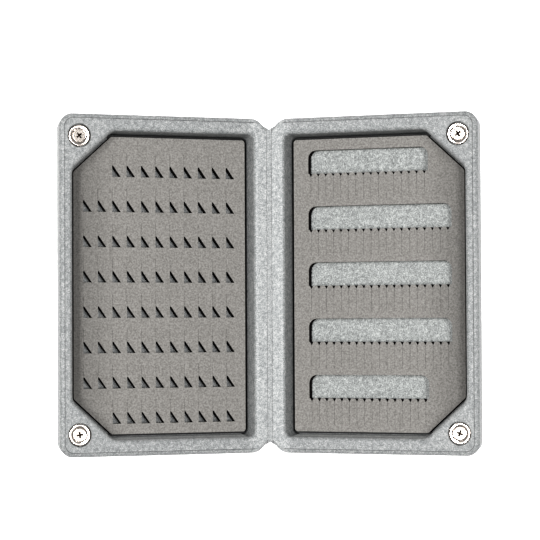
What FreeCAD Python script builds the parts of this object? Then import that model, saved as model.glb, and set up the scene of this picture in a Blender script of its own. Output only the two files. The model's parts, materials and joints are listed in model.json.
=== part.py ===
"""Fly box: two shallow moulded foam trays on a foam strip that bends, shown standing open in a V.

The left tray holds a foam sheet with rows of triangular holes, the right one a foam sheet with five
toothed windows. A countersunk ring magnet is screwed into each outer corner as the closure.

Axes: X across the two trays, Y along the hinge, Z up. The origin is on the table under the middle
of the hinge. Lengths are in millimetres and angles in degrees.
Each tray has its own flat frame: x away from the hinge (negative on the left tray), y along it and
z above the rim. The frame is then tilted about the hinge axis by the opening angle.
"""

import FreeCAD, Part
import math
import os
import Sketcher

SIZES = [
    # The tray
    ("leaf_width", 103.0),
    ("leaf_length", 160.8),
    ("leaf_depth", 17.0),
    ("tilt", 20.4),
    ("rim_rise", 0.15),
    ("level_share", 0.1),
    ("draft", 9.0),
    # Both corners' radii are those at the back: the draft makes them larger towards the rim
    ("outer_corner", 4.1629),
    ("hinge_corner", 5.3629),
    ("notch_depth", 4.0),
    ("notch_angle", 45.0),
    ("back_round", 5.0),
    # The stepped shoulder round the outside of the rim
    ("shoulder_width", 2.7),
    ("shoulder_step", 0.35),
    ("shoulder_round", 2.2),
    # The cavity
    ("hinge_rim", 5.9),
    ("outer_rim", 6.2),
    ("end_rim", 8.15),
    ("corner_cut_x", 19.7),
    ("corner_cut_y", 18.1),
    ("cavity_draft", 5.0),
    ("cavity_hinge_corner", 3.2),
    ("cavity_outer_corner", 6.0),
    ("rim_round", 2.0),
    ("foam_drop", 8.0),
    # The bending strip
    ("strip_width", 2.7),
    ("strip_drop", 0.5),
    ("strip_thickness", 1.8),
    ("crease_width", 0.4),
    ("crease_depth", 0.35),
    ("strip_end_gap", 0.7),
    # Both foam sheets
    ("sheet_thickness", 4.0),
    ("sheet_gap", 1.3),
    ("sheet_hinge_corner", 1.5),
    ("sheet_outer_corner", 2.0),
    # The toothed windows of the right sheet
    ("window_rows", 5),
    ("window_height", 11.2),
    ("window_corner", 4.0),
    ("window_inner_margin", 7.45),
    ("window_outer_margin", 6.35),
    ("window_top_margin", 5.2),
    ("slit_to_window", 3.18757),
    ("slit_to_edge", 3.35),
    ("notch_count", 19),
    ("notches_cut_short", 3),
    ("first_notch", 1.3),
    ("last_notch", 1.8),
    ("notch_width", 1.8),
    ("notch_height", 1.5),
    ("slit_width", 0.08),
    # The triangular holes of the left sheet
    ("hole_columns", 11),
    ("hole_rows", 8),
    ("hole_columns_left_out", 2),
    ("hole_width", 4.2),
    ("hole_height", 5.3),
    ("hole_tip", 0.5),
    ("hole_inner_margin", 5.35),
    ("hole_outer_margin", 4.7),
    ("hole_top_margin", 13.5),
    ("hole_bottom_margin", 4.9),
    ("hole_slit_length", 6.0),
    # The corner magnets, their screws and anchors
    ("magnet_radius", 5.0),
    ("magnet_thickness", 3.0),
    ("magnet_bore", 1.8),
    ("sink_radius", 3.25),
    ("magnet_gap", 0.6),
    ("magnet_recess", 0.3),
    ("magnet_from_side", 9.5),
    ("magnet_from_end", 10.9),
    ("screw_radius", 1.5),
    ("screw_length", 10.0),
    ("screw_drop", 0.2),
    ("screw_fit", 0.04),
    ("anchor_radius", 3.0),
    ("anchor_barb", 0.5),
    ("barb_length", 3.5),
    ("anchor_length", 9.0),
    ("anchor_floor", 1.0),
    ("anchor_fit", 0.05),
]


class Size:
    """A length, angle or count that carries both its number and its formula in the sheet."""

    def __init__(self, value, text):
        self.value = value
        self.text = text

    def __add__(self, other):
        other = as_size(other)
        return Size(self.value + other.value, "(%s + %s)" % (self.text, other.text))

    def __sub__(self, other):
        other = as_size(other)
        return Size(self.value - other.value, "(%s - %s)" % (self.text, other.text))

    def __mul__(self, other):
        other = as_size(other)
        return Size(self.value * other.value, "(%s * %s)" % (self.text, other.text))

    def __truediv__(self, other):
        other = as_size(other)
        return Size(self.value / other.value, "(%s / %s)" % (self.text, other.text))

    def __neg__(self):
        return Size(-self.value, "(0 - %s)" % self.text)


def as_size(number):
    """A plain factor, such as a half or a sign, as a Size."""
    if isinstance(number, Size):
        return number
    return Size(float(number), "%r" % float(number))


def cosine(angle):
    return Size(math.cos(math.radians(angle.value)), "cos(%s * 1 deg)" % angle.text)


def sine(angle):
    return Size(math.sin(math.radians(angle.value)), "sin(%s * 1 deg)" % angle.text)


def tangent(angle):
    return Size(math.tan(math.radians(angle.value)), "tan(%s * 1 deg)" % angle.text)


def root(area):
    return Size(math.sqrt(area.value), "sqrt(%s)" % area.text)


doc = FreeCAD.newDocument("fly_box")
sheet = doc.addObject("Spreadsheet::Sheet", "Sizes")
n = {}
for row, (name, number) in enumerate(SIZES, 1):
    sheet.set("A%d" % row, name)
    sheet.set("B%d" % row, str(number))
    sheet.setAlias("B%d" % row, name)
    n[name] = Size(number, "Sizes.%s" % name)
doc.recompute()

ZERO = Size(0.0, "0")
LEFT = -1
RIGHT = 1
REAR = 1
FRONT = -1


def plane_of(body, role):
    """One of the body's own origin planes."""
    return [f for f in body.Origin.OriginFeatures if f.Role == role][0]


def fix_point(sketch, geometry, position, x, y):
    """Holds a point of the sketch at a distance from its origin, both read from the sheet."""
    for kind, size in (("DistanceX", x), ("DistanceY", y)):
        made = sketch.addConstraint(
            Sketcher.Constraint(kind, -1, 1, geometry, position, size.value)
        )
        sketch.setExpression("Constraints[%d]" % made, size.text)


def new_sketch(body, name, role, level):
    sketch = body.newObject("Sketcher::SketchObject", name)
    sketch.AttachmentSupport = [(plane_of(body, role), "")]
    sketch.MapMode = "FlatFace"
    sketch.AttachmentOffset = FreeCAD.Placement(
        FreeCAD.Vector(0, 0, level.value), FreeCAD.Rotation()
    )
    sketch.setExpression(".AttachmentOffset.Base.z", level.text)
    return sketch


def corner_arc(before, corner, after, radius):
    """Tangent points and centre of the arc that rounds a corner, and whether it turns left."""
    to_before = (before - corner).normalize()
    to_after = (after - corner).normalize()
    half = to_before.getAngle(to_after) / 2
    run = radius / math.tan(half)
    middle = (to_before + to_after).normalize()
    centre = corner + middle * (radius / math.sin(half))
    left = to_after.cross(to_before).z > 0
    return corner + to_before * run, corner + to_after * run, centre, left


def outline(body, name, corners, role="XY_Plane", level=ZERO):
    """A closed outline through corners (x, y) or (x, y, radius), held by the sheet's sizes.

    A rounded corner keeps its sharp point as a construction point that both lines pass through.
    """
    sketch = new_sketch(body, name, role, level)
    count = len(corners)
    points = [FreeCAD.Vector(c[0].value, c[1].value, 0) for c in corners]
    starts = list(points)
    ends = [points[(i + 1) % count] for i in range(count)]
    arcs = {}
    for i, corner in enumerate(corners):
        if len(corner) == 3:
            arc = corner_arc(points[i - 1], points[i], points[(i + 1) % count], corner[2].value)
            ends[i - 1] = arc[0]
            starts[i] = arc[1]
            arcs[i] = arc
    for i in range(count):
        sketch.addGeometry(Part.LineSegment(starts[i], ends[i]), False)
    for i, corner in enumerate(corners):
        before = (i - 1) % count
        if i not in arcs:
            sketch.addConstraint(Sketcher.Constraint("Coincident", before, 2, i, 1))
            fix_point(sketch, i, 1, corner[0], corner[1])
            continue
        first, second, centre, left = arcs[i]
        if not left:
            first, second = second, first
        start_angle = math.atan2(first.y - centre.y, first.x - centre.x)
        end_angle = math.atan2(second.y - centre.y, second.x - centre.x)
        if end_angle < start_angle:
            end_angle += 2 * math.pi
        circle = Part.Circle(centre, FreeCAD.Vector(0, 0, 1), corner[2].value)
        arc = sketch.addGeometry(Part.ArcOfCircle(circle, start_angle, end_angle), False)
        coming = 1 if left else 2
        leaving = 3 - coming
        sketch.addConstraint(Sketcher.Constraint("Tangent", before, 2, arc, coming))
        sketch.addConstraint(Sketcher.Constraint("Tangent", arc, leaving, i, 1))
        made = sketch.addConstraint(Sketcher.Constraint("Radius", arc, corner[2].value))
        sketch.setExpression("Constraints[%d]" % made, corner[2].text)
        point = sketch.addGeometry(Part.Point(points[i]), True)
        sketch.addConstraint(Sketcher.Constraint("PointOnObject", point, 1, before))
        sketch.addConstraint(Sketcher.Constraint("PointOnObject", point, 1, i))
        fix_point(sketch, point, 1, corner[0], corner[1])
    return sketch


def circles(body, name, places, radius, level=ZERO):
    """Equal circles on the body's flat plane."""
    sketch = new_sketch(body, name, "XY_Plane", level)
    for x, y in places:
        centre = FreeCAD.Vector(x.value, y.value, 0)
        circle = Part.Circle(centre, FreeCAD.Vector(0, 0, 1), radius.value)
        made = sketch.addGeometry(circle, False)
        fix_point(sketch, made, 3, x, y)
        held = sketch.addConstraint(Sketcher.Constraint("Radius", made, radius.value))
        sketch.setExpression("Constraints[%d]" % held, radius.text)
    return sketch


def extrude(body, kind, name, sketch, length, reverse, taper=None):
    """A Pad or Pocket of the sketch whose length and taper come from the sheet."""
    feature = body.newObject("PartDesign::" + kind, name)
    feature.Profile = sketch
    feature.Length = length.value
    feature.setExpression("Length", length.text)
    feature.Reversed = reverse
    if taper:
        feature.TaperAngle = taper.value
        feature.setExpression("TaperAngle", taper.text)
    doc.recompute()
    return feature


def round_edges(body, name, radius, test):
    """A Fillet on the edges of the body so far that the test picks."""
    base = body.Tip
    found = ["Edge%d" % (i + 1) for i, e in enumerate(base.Shape.Edges) if test(e)]
    feature = body.newObject("PartDesign::Fillet", name)
    feature.Base = (base, found)
    feature.Radius = radius.value
    feature.setExpression("Radius", radius.text)
    doc.recompute()
    return feature


def at_level(level):
    """Picks the edges that lie wholly at one height."""
    near = n["rim_rise"].value * n["level_share"].value

    def test(edge):
        box = edge.BoundBox
        return abs(box.ZMin - level.value) < near and abs(box.ZMax - level.value) < near

    return test


def repeat(body, name, features, first, second=None):
    """The features repeated in a row or a lattice, each way given as (sketch axis, pitch, count)."""
    pattern = body.newObject("PartDesign::LinearPattern", name)
    pattern.Originals = features
    ways = [("", first)]
    if second:
        ways.append(("2", second))
    for suffix, (axis, pitch, count) in ways:
        extent = pitch * (count - 1)
        setattr(pattern, "Direction" + suffix, (features[0].Profile[0], [axis]))
        setattr(pattern, "Mode" + suffix, "Extent")
        setattr(pattern, "Length" + suffix, extent.value)
        pattern.setExpression("Length" + suffix, extent.text)
        setattr(pattern, "Occurrences" + suffix, int(round(count.value)))
        pattern.setExpression("Occurrences" + suffix, count.text)
    body.Tip = pattern
    doc.recompute()
    return pattern


def revolve(body, name, corners):
    """A solid of revolution about the body's own Z from an outline of (radius, height)."""
    profile = outline(body, name + "_profile", corners, role="XZ_Plane")
    feature = body.newObject("PartDesign::Revolution", name)
    feature.Profile = profile
    feature.ReferenceAxis = (profile, ["V_Axis"])
    feature.Angle = 360
    doc.recompute()
    return feature


def new_body(label):
    body = doc.addObject("PartDesign::Body", label)
    body.Label = label
    return body


# Lines that several pieces share, all in a tray's own flat frame
HALF_LENGTH = n["leaf_length"] / 2
HINGE_SIDE = n["strip_width"] / 2
COS = cosine(n["tilt"])
SIN = sine(n["tilt"])
DRAFT = tangent(n["draft"])
NOTCH_RUN = n["notch_depth"] / tangent(n["notch_angle"])
CAVITY_INNER = HINGE_SIDE + n["hinge_rim"]
CAVITY_OUTER = n["leaf_width"] - n["outer_rim"]
CAVITY_HALF = HALF_LENGTH - n["end_rim"]
CAVITY_DEPTH = n["foam_drop"] + n["sheet_thickness"]
MAGNET_X = n["leaf_width"] - n["magnet_from_side"]
MAGNET_Y = HALF_LENGTH - n["magnet_from_end"]
POCKET_DEPTH = n["magnet_recess"] + n["magnet_thickness"]
DRAFT_RUN = (n["leaf_depth"] - n["shoulder_step"]) * DRAFT
OUTER_CORNER = n["outer_corner"] + DRAFT_RUN
HINGE_CORNER = n["hinge_corner"] + DRAFT_RUN


def wall_x(depth):
    """Where the drafted hinge wall stands at a depth below the rim."""
    return HINGE_SIDE + (depth - n["shoulder_step"]) * DRAFT


# The trays stand on the rounds of their back edges, so those set the height of the hinge axis
round_rise = n["back_round"] * sine(n["draft"])
foot_x = wall_x(n["leaf_depth"] - n["back_round"] + round_rise)
foot_x = foot_x + n["back_round"] * cosine(n["draft"])
foot_z = n["back_round"] - n["leaf_depth"] - n["rim_rise"]
AXIS_HEIGHT = n["back_round"] - foot_x * SIN - foot_z * COS


def place(body, side, x=ZERO, y=ZERO, z=ZERO):
    """Tilts a piece about the hinge with its tray, and sets its own origin at x, y, z of the tray.

    x grows away from the hinge on either tray. The rim lies a little below the hinge axis.
    """
    z = z - n["rim_rise"]
    base = ((x * COS - z * SIN) * side, y, AXIS_HEIGHT + x * SIN + z * COS)
    body.Placement = FreeCAD.Placement(
        FreeCAD.Vector(*[part.value for part in base]),
        FreeCAD.Rotation(FreeCAD.Vector(0, -side, 0), n["tilt"].value),
    )
    for axis, part in zip("xyz", base):
        body.setExpression(".Placement.Base.%s" % axis, part.text)
    body.setExpression(".Placement.Rotation.Angle", n["tilt"].text)


def leaf_outline(half, outer, corner, bevel):
    """Half of a tray's outline, from the hinge line round to the outer side."""
    return [
        (HINGE_SIDE, half - n["notch_depth"]),
        (HINGE_SIDE + NOTCH_RUN, half, bevel),
        (outer, half, corner),
    ]


def both_halves(side, corners):
    """A full outline on the given side of the hinge from its half with y above zero."""
    rear = [(c[0] * side,) + tuple(c[1:]) for c in corners]
    front = [(c[0], -c[1]) + tuple(c[2:]) for c in reversed(rear)]
    return rear + front


def cavity_half(inset, hinge_corner, outer_corner):
    """Half of the cavity's outline, drawn in by inset: its outer corners are cut off."""
    cut_x = n["corner_cut_x"]
    cut_y = n["corner_cut_y"]
    slant = root(cut_x * cut_x + cut_y * cut_y)
    cut_x_in = cut_x - inset + inset * (slant - cut_x) / cut_y
    cut_y_in = cut_y - inset + inset * (slant - cut_y) / cut_x
    inner = CAVITY_INNER + inset
    outer = CAVITY_OUTER - inset
    half = CAVITY_HALF - inset
    return [
        (inner, half, hinge_corner),
        (outer - cut_x_in, half, outer_corner),
        (outer, half - cut_y_in, outer_corner),
    ]


def make_shell(label, side):
    """A tray: drafted block, stepped shoulder, drafted cavity and the corner pockets."""
    body = new_body(label)
    block = leaf_outline(HALF_LENGTH, n["leaf_width"], OUTER_CORNER, HINGE_CORNER)
    sketch = outline(
        body, label + "_outline", both_halves(side, block), level=-n["shoulder_step"]
    )
    depth = n["leaf_depth"] - n["shoulder_step"]
    extrude(body, "Pad", label + "_block", sketch, depth, True, -n["draft"])
    round_edges(body, label + "_back", n["back_round"], at_level(-n["leaf_depth"]))
    round_edges(body, label + "_shoulder", n["shoulder_round"], at_level(-n["shoulder_step"]))

    # The land that meets the other rim: its hinge wall carries on in the plane of the block's
    land = leaf_outline(
        HALF_LENGTH - n["shoulder_width"],
        n["leaf_width"] - n["shoulder_width"],
        OUTER_CORNER - n["shoulder_width"],
        HINGE_CORNER - n["shoulder_width"],
    )
    top = wall_x(ZERO)
    land[0] = (top, land[0][1])
    sketch = outline(body, label + "_land_outline", both_halves(side, land))
    reach = n["shoulder_step"] + n["shoulder_round"] * 2
    extrude(body, "Pad", label + "_land", sketch, reach, True, -n["draft"])

    cavity = cavity_half(ZERO, n["cavity_hinge_corner"], n["cavity_outer_corner"])
    sketch = outline(body, label + "_cavity_outline", both_halves(side, cavity))
    extrude(body, "Pocket", label + "_cavity", sketch, CAVITY_DEPTH, False, -n["cavity_draft"])

    def on_rim_of_cavity(edge):
        inside = abs(edge.CenterOfMass.x) > CAVITY_INNER.value - n["rim_rise"].value
        inside = inside and abs(edge.CenterOfMass.x) < CAVITY_OUTER.value + n["rim_rise"].value
        inside = inside and abs(edge.CenterOfMass.y) < CAVITY_HALF.value + n["rim_rise"].value
        return inside and at_level(ZERO)(edge)

    round_edges(body, label + "_rim", n["rim_round"], on_rim_of_cavity)

    corners = [(MAGNET_X * side, MAGNET_Y), (MAGNET_X * side, -MAGNET_Y)]
    sketch = circles(
        body, label + "_magnet_circles", corners, n["magnet_radius"] + n["magnet_gap"]
    )
    extrude(body, "Pocket", label + "_magnet_pockets", sketch, POCKET_DEPTH, False)
    bore = n["anchor_radius"] + n["anchor_barb"] + n["anchor_fit"]
    sketch = circles(body, label + "_anchor_circles", corners, bore)
    deep = POCKET_DEPTH + n["anchor_length"]
    extrude(body, "Pocket", label + "_anchor_holes", sketch, deep, False)
    place(body, side)
    return body


make_shell("left_shell", LEFT)
make_shell("right_shell", RIGHT)


def make_hinge_web():
    """The strip between the trays: a shallow bead with a crease along each side."""
    body = new_body("hinge_web")

    def at_wall(depth):
        x = wall_x(depth)
        z = -depth - n["rim_rise"]
        return x * COS - z * SIN, AXIS_HEIGHT + x * SIN + z * COS

    top = at_wall(n["strip_drop"])
    low = at_wall(n["strip_drop"] + n["strip_thickness"])
    half = [
        (top[0] - n["crease_width"], top[1] + n["crease_depth"]),
        top,
        low,
    ]
    other = [(-x, z) for x, z in reversed(half)]
    sketch = outline(body, "web_section", half + other, role="XZ_Plane")
    feature = body.newObject("PartDesign::Pad", "web_strip")
    feature.Profile = sketch
    feature.SideType = "Symmetric"
    length = n["leaf_length"] - n["notch_depth"] * 2 - n["strip_end_gap"] * 2
    feature.Length = length.value
    feature.setExpression("Length", length.text)
    doc.recompute()
    return body


make_hinge_web()

# A foam sheet stands in the narrow foot of its cavity with a gap all round
INSET = CAVITY_DEPTH * tangent(n["cavity_draft"]) + n["sheet_gap"]
SHEET_INNER = CAVITY_INNER + INSET
SHEET_OUTER = CAVITY_OUTER - INSET
SHEET_HALF = CAVITY_HALF - INSET


def make_sheet(label, side):
    """The plain foam sheet of a tray, with its outer corners cut off like the cavity's."""
    body = new_body(label)
    half = cavity_half(INSET, n["sheet_hinge_corner"], n["sheet_outer_corner"])
    sketch = outline(body, label + "_outline", both_halves(side, half), level=-CAVITY_DEPTH)
    extrude(body, "Pad", label + "_sheet", sketch, n["sheet_thickness"], False)
    return body


def cut_through(body, name, corners):
    sketch = outline(body, name + "_outline", corners, level=-n["foam_drop"])
    return extrude(body, "Pocket", name, sketch, n["sheet_thickness"], False)


def make_window_insert():
    """Five windows. A row of V notches, each with a fine slit, opens from each lower edge.

    The slits end a set distance above the next window, or above the sheet's edge in the last row.
    """
    label = "window_insert"
    body = make_sheet(label, RIGHT)
    first = SHEET_INNER + n["window_inner_margin"]
    last = SHEET_OUTER - n["window_outer_margin"]
    pitch = (last - first - n["first_notch"] - n["last_notch"]) / (n["notch_count"] - 1)
    short_last = last - pitch * n["notches_cut_short"]
    step = SHEET_HALF * 2 - n["window_top_margin"] + n["slit_to_window"] - n["slit_to_edge"]
    step = step / n["window_rows"]
    slit = step - n["window_height"] - n["notch_height"] - n["slit_to_window"]
    bottom = slit + n["notch_height"] + n["slit_to_edge"] - SHEET_HALF
    along = ("H_Axis", pitch, n["notch_count"])
    along_short = ("H_Axis", pitch, n["notch_count"] - n["notches_cut_short"])
    inner_rows = ("V_Axis", step, n["window_rows"] - 2)
    end_rows = ("V_Axis", step * (n["window_rows"] - 1), as_size(2))

    def window(name, end, base):
        return cut_through(
            body,
            name,
            [
                (first, base),
                (end, base),
                (end, base + n["window_height"], n["window_corner"]),
                (first, base + n["window_height"], n["window_corner"]),
            ],
        )

    def notch(name, base):
        x = first + n["first_notch"]
        low = base - n["notch_height"]
        foot = low - slit
        wide = n["notch_width"] / 2
        fine = n["slit_width"] / 2
        return cut_through(
            body,
            name,
            [
                (x - wide, base),
                (x - fine, low),
                (x - fine, foot),
                (x + fine, foot),
                (x + fine, low),
                (x + wide, base),
            ],
        )

    windows = window("long_window", last, bottom + step)
    repeat(body, "long_windows", [windows], inner_rows)
    notches = notch("long_notch", bottom + step)
    repeat(body, "long_notches", [notches], along, inner_rows)
    windows = window("short_window", short_last, bottom)
    repeat(body, "short_windows", [windows], end_rows)
    notches = notch("short_notch", bottom)
    repeat(body, "short_notches", [notches], along_short, end_rows)
    place(body, RIGHT)


def make_slit_insert():
    """Rows of triangular holes for the bends of the hooks. A fine slit, which holds the hook's
    point, runs on from the tip of each."""
    label = "slit_insert"
    body = make_sheet(label, LEFT)
    wide = n["hole_width"]
    tall = n["hole_height"]
    left = n["hole_outer_margin"] - SHEET_OUTER
    pitch = SHEET_OUTER - SHEET_INNER - n["hole_outer_margin"] - n["hole_inner_margin"] - wide
    pitch = pitch / (n["hole_columns"] - 1)
    low = n["hole_bottom_margin"] - SHEET_HALF
    step = SHEET_HALF * 2 - n["hole_bottom_margin"] - n["hole_top_margin"] - tall
    step = step / (n["hole_rows"] - 1)
    fine = n["slit_width"]

    def hole(name, x, y):
        return cut_through(
            body,
            name,
            [
                (x, y),
                (x + wide, y),
                (x + n["hole_tip"], y + tall),
                (x + fine, y + tall),
                (x + fine, y + tall + n["hole_slit_length"]),
                (x, y + tall + n["hole_slit_length"]),
            ],
        )

    left_out = n["hole_columns_left_out"]
    inner = hole("inner_hole", left + pitch * left_out, low)
    kept = ("H_Axis", pitch, n["hole_columns"] - left_out)
    repeat(body, "inner_holes", [inner], kept, ("V_Axis", step, n["hole_rows"]))
    outer = hole("outer_hole", left, low + step)
    others = ("H_Axis", pitch, left_out)
    repeat(body, "outer_holes", [outer], others, ("V_Axis", step, n["hole_rows"] - 2))
    place(body, LEFT)


make_slit_insert()
make_window_insert()


def make_magnet(label):
    """A ring magnet with a cone sunk for the screw's head."""
    body = new_body(label)
    thick = n["magnet_thickness"]
    sink = n["sink_radius"] - n["magnet_bore"]
    revolve(
        body,
        label + "_ring",
        [
            (n["magnet_bore"], -thick),
            (n["magnet_radius"], -thick),
            (n["magnet_radius"], ZERO),
            (n["sink_radius"], ZERO),
            (n["magnet_bore"], -sink),
        ],
    )
    return body


def make_screw(label):
    """A countersunk screw. Its head lies just below the magnet's face, clear of the cone."""
    body = new_body(label)
    top = -n["screw_drop"]
    head = n["sink_radius"] - n["screw_drop"] - n["screw_fit"]
    neck = top - head + n["screw_radius"]
    end = top - n["screw_length"]
    revolve(
        body,
        label + "_turned",
        [
            (ZERO, end),
            (n["screw_radius"], end),
            (n["screw_radius"], neck),
            (head, top),
            (ZERO, top),
        ],
    )
    return body


def make_anchor(label):
    """A sleeve, closed below, with a barbed foot that holds the screw in the foam."""
    body = new_body(label)
    bore = n["screw_radius"] + n["screw_fit"]
    foot = -n["anchor_length"]
    revolve(
        body,
        label + "_sleeve",
        [
            (ZERO, foot),
            (n["anchor_radius"], foot),
            (n["anchor_radius"] + n["anchor_barb"], foot + n["barb_length"]),
            (n["anchor_radius"], foot + n["barb_length"]),
            (n["anchor_radius"], ZERO),
            (bore, ZERO),
            (bore, foot + n["anchor_floor"]),
            (ZERO, foot + n["anchor_floor"]),
        ],
    )
    return body


for side, side_name in ((LEFT, "left"), (RIGHT, "right")):
    for end, end_name in ((REAR, "rear"), (FRONT, "front")):
        corner = "%s_%s" % (side_name, end_name)
        at = (MAGNET_X, MAGNET_Y * end)
        place(make_magnet("magnet_" + corner), side, at[0], at[1], -n["magnet_recess"])
        place(make_screw("screw_" + corner), side, at[0], at[1], -n["magnet_recess"])
        place(make_anchor("anchor_" + corner), side, at[0], at[1], -POCKET_DEPTH)

doc.recompute()

for thing in doc.Objects:
    if "Invalid" in thing.State or "Error" in thing.State:
        raise RuntimeError("%s did not rebuild: %s" % (thing.Name, thing.State))
bodies = [thing for thing in doc.Objects if thing.TypeId == "PartDesign::Body"]
for body in bodies:
    if body.Shape.isNull() or not body.Shape.isValid() or len(body.Shape.Solids) != 1:
        raise RuntimeError("%s is not one valid solid" % body.Label)

os.makedirs("parts", exist_ok=True)
for body in bodies:
    body.Shape.exportStep("parts/%s.step" % body.Label)
    print("%-22s %10.1f mm3" % (body.Label, body.Shape.Volume))
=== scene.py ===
# %% [markdown]
# # A fly box, open on its hinge
# The object is a slim case for fishing flies. Two trays of moulded EVA foam stay joined by a strip
# of the same foam, which bends as a hinge. Each tray holds a die-cut foam sheet, and a ring magnet
# is screwed into each outer corner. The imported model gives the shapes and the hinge, so this script
# first loads it and then dresses it.

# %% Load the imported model
import json
import math

import bmesh
import bpy
from mathutils import Matrix, Vector, noise


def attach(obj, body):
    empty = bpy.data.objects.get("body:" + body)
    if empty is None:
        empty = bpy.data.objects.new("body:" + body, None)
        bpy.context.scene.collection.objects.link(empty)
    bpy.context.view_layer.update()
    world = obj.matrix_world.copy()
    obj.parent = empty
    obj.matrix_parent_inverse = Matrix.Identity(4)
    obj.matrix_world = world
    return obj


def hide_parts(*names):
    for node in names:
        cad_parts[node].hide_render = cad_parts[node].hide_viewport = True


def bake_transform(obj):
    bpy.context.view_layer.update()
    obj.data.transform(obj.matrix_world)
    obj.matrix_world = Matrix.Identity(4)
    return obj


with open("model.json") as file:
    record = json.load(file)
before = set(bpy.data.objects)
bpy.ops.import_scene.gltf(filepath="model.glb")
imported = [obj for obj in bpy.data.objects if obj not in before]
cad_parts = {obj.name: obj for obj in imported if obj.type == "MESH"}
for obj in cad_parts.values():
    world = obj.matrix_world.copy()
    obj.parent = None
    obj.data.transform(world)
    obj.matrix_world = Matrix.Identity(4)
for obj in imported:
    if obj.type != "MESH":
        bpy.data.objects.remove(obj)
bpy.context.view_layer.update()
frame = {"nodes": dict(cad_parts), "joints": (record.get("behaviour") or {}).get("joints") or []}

NODES = frame["nodes"]
HINGE = frame["joints"][0]
print("nodes:", len(NODES), "hinge range:", HINGE["range_deg"])

# %% [markdown]
# Lengths on the real thing are in millimetres, and Blender works in metres, so one factor turns one
# into the other. Each tray is flat in itself but tilted about the hinge. A matrix per tray lets
# every piece be drawn flat, with x away from the hinge, y along it and z above the rim, and then
# be laid onto its tray.

# %% The two trays' own flat frames
MM = 0.001
LEFT, RIGHT = -1, 1
REAR, FRONT = 1, -1
BODY = {LEFT: "left_tray", RIGHT: "right_tray"}
SIDE_NAME = {LEFT: "left", RIGHT: "right"}
END_NAME = {REAR: "rear", FRONT: "front"}
RIM_BELOW_AXIS = 0.15 * MM
TILT = math.radians(-HINGE["range_deg"][0] / 2)
AXIS = Vector(HINGE["pos_m"])
TRAY = {
    side: Matrix.Translation(AXIS)
    @ Matrix.Rotation(-side * TILT, 4, "Y")
    @ Matrix.Translation((0, 0, -RIM_BELOW_AXIS))
    for side in (LEFT, RIGHT)
}
print("tilt of each tray:", round(math.degrees(TILT), 2), "degrees")

# %% [markdown]
# Every piece ends in the same few steps. Its mesh goes into an object that stays at the origin, it
# is shaded smooth with its sharp edges kept, and it gets its materials and the body that it rides
# on.

# %% Helpers that every piece uses
def new_piece(name, mesh):
    """An object at the origin that holds a finished bmesh."""
    data = bpy.data.meshes.new(name)
    mesh.to_mesh(data)
    mesh.free()
    piece = bpy.data.objects.new(name, data)
    bpy.context.scene.collection.objects.link(piece)
    return piece


def smooth(piece, sharp_angle=32):
    """Smooth shading, with an edge kept sharp where its faces meet at more than the angle."""
    piece.data.shade_smooth()
    piece.data.set_sharp_from_angle(angle=math.radians(sharp_angle))


def dress(piece, side, slot, *materials):
    """Materials and body of a finished piece. The slot argument is not used."""
    for material in materials:
        piece.data.materials.append(material)
    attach(piece, BODY[side])


# %% [markdown]
# Colours are picked on a screen as sRGB hex values, but light is added up in linear numbers, so one
# function does the change, with the numbers of the sRGB standard. Another one adds a shader node
# with its settings and links, which keeps each material short enough to read.

# %% Colour and node helpers
def linear(hex_value):
    """A linear RGBA colour from an sRGB hex value."""
    parts = [(hex_value >> shift & 255) / 255 for shift in (16, 8, 0)]
    return tuple(p / 12.92 if p <= 0.04045 else ((p + 0.055) / 1.055) ** 2.4 for p in parts) + (1,)


def add(tree, kind, settings=None, values=None, links=None):
    """Adds a shader node, sets its properties and sockets, and links sources to its inputs."""
    made = tree.nodes.new("ShaderNode" + kind)
    for key, value in (settings or {}).items():
        setattr(made, key, value)
    for key, value in (values or {}).items():
        made.inputs[key].default_value = value
    for key, source in (links or {}).items():
        tree.links.new(source, made.inputs[key])
    return made


def new_material(name):
    """A material with its shader, and the object coordinates that its patterns read."""
    material = bpy.data.materials.new(name)
    material.use_nodes = True
    tree = material.node_tree
    shader = tree.nodes["Principled BSDF"]
    place = add(tree, "TexCoord").outputs["Object"]
    return material, tree, shader, place


def grain_scale(size_mm):
    """The scale of a noise pattern whose features are about this large."""
    return 1 / (size_mm * MM)


def ramp(tree, source, stops):
    """A colour ramp from (position, hex) stops. A new stop starts half way and is then moved."""
    made = add(tree, "ValToRGB", links={"Fac": source})
    points = made.color_ramp.elements
    while len(points) < len(stops):
        points.new(0.5)
    for point, (position, hex_value) in zip(points, stops):
        point.position = position
        point.color = linear(hex_value)
    return made.outputs["Color"]


# %% [markdown]
# The trays are compression-moulded EVA foam, a light silver grey. The hot mould leaves a skin with
# a fine leathery grain, and light pigment collects in it as mottles and specks. So the colour is
# two noises, one at the grain's size and one for the wider mottles, and the same grain drives the
# bump. A noise mostly stays near its middle, so the ramp's dark and light stops stand close to it.

# %% Moulded EVA foam
GRAIN_MM = 0.55
MOTTLE_MM = 1.7
MOTTLE_SHARE = 0.35
GRAIN_DEPTH_MM = 0.16
DARK_AT, MIDDLE_AT, LIGHT_AT = 0.36, 0.5, 0.64
SKIN_ROUGHNESS, SKIN_IOR = 0.55, 1.48


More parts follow.
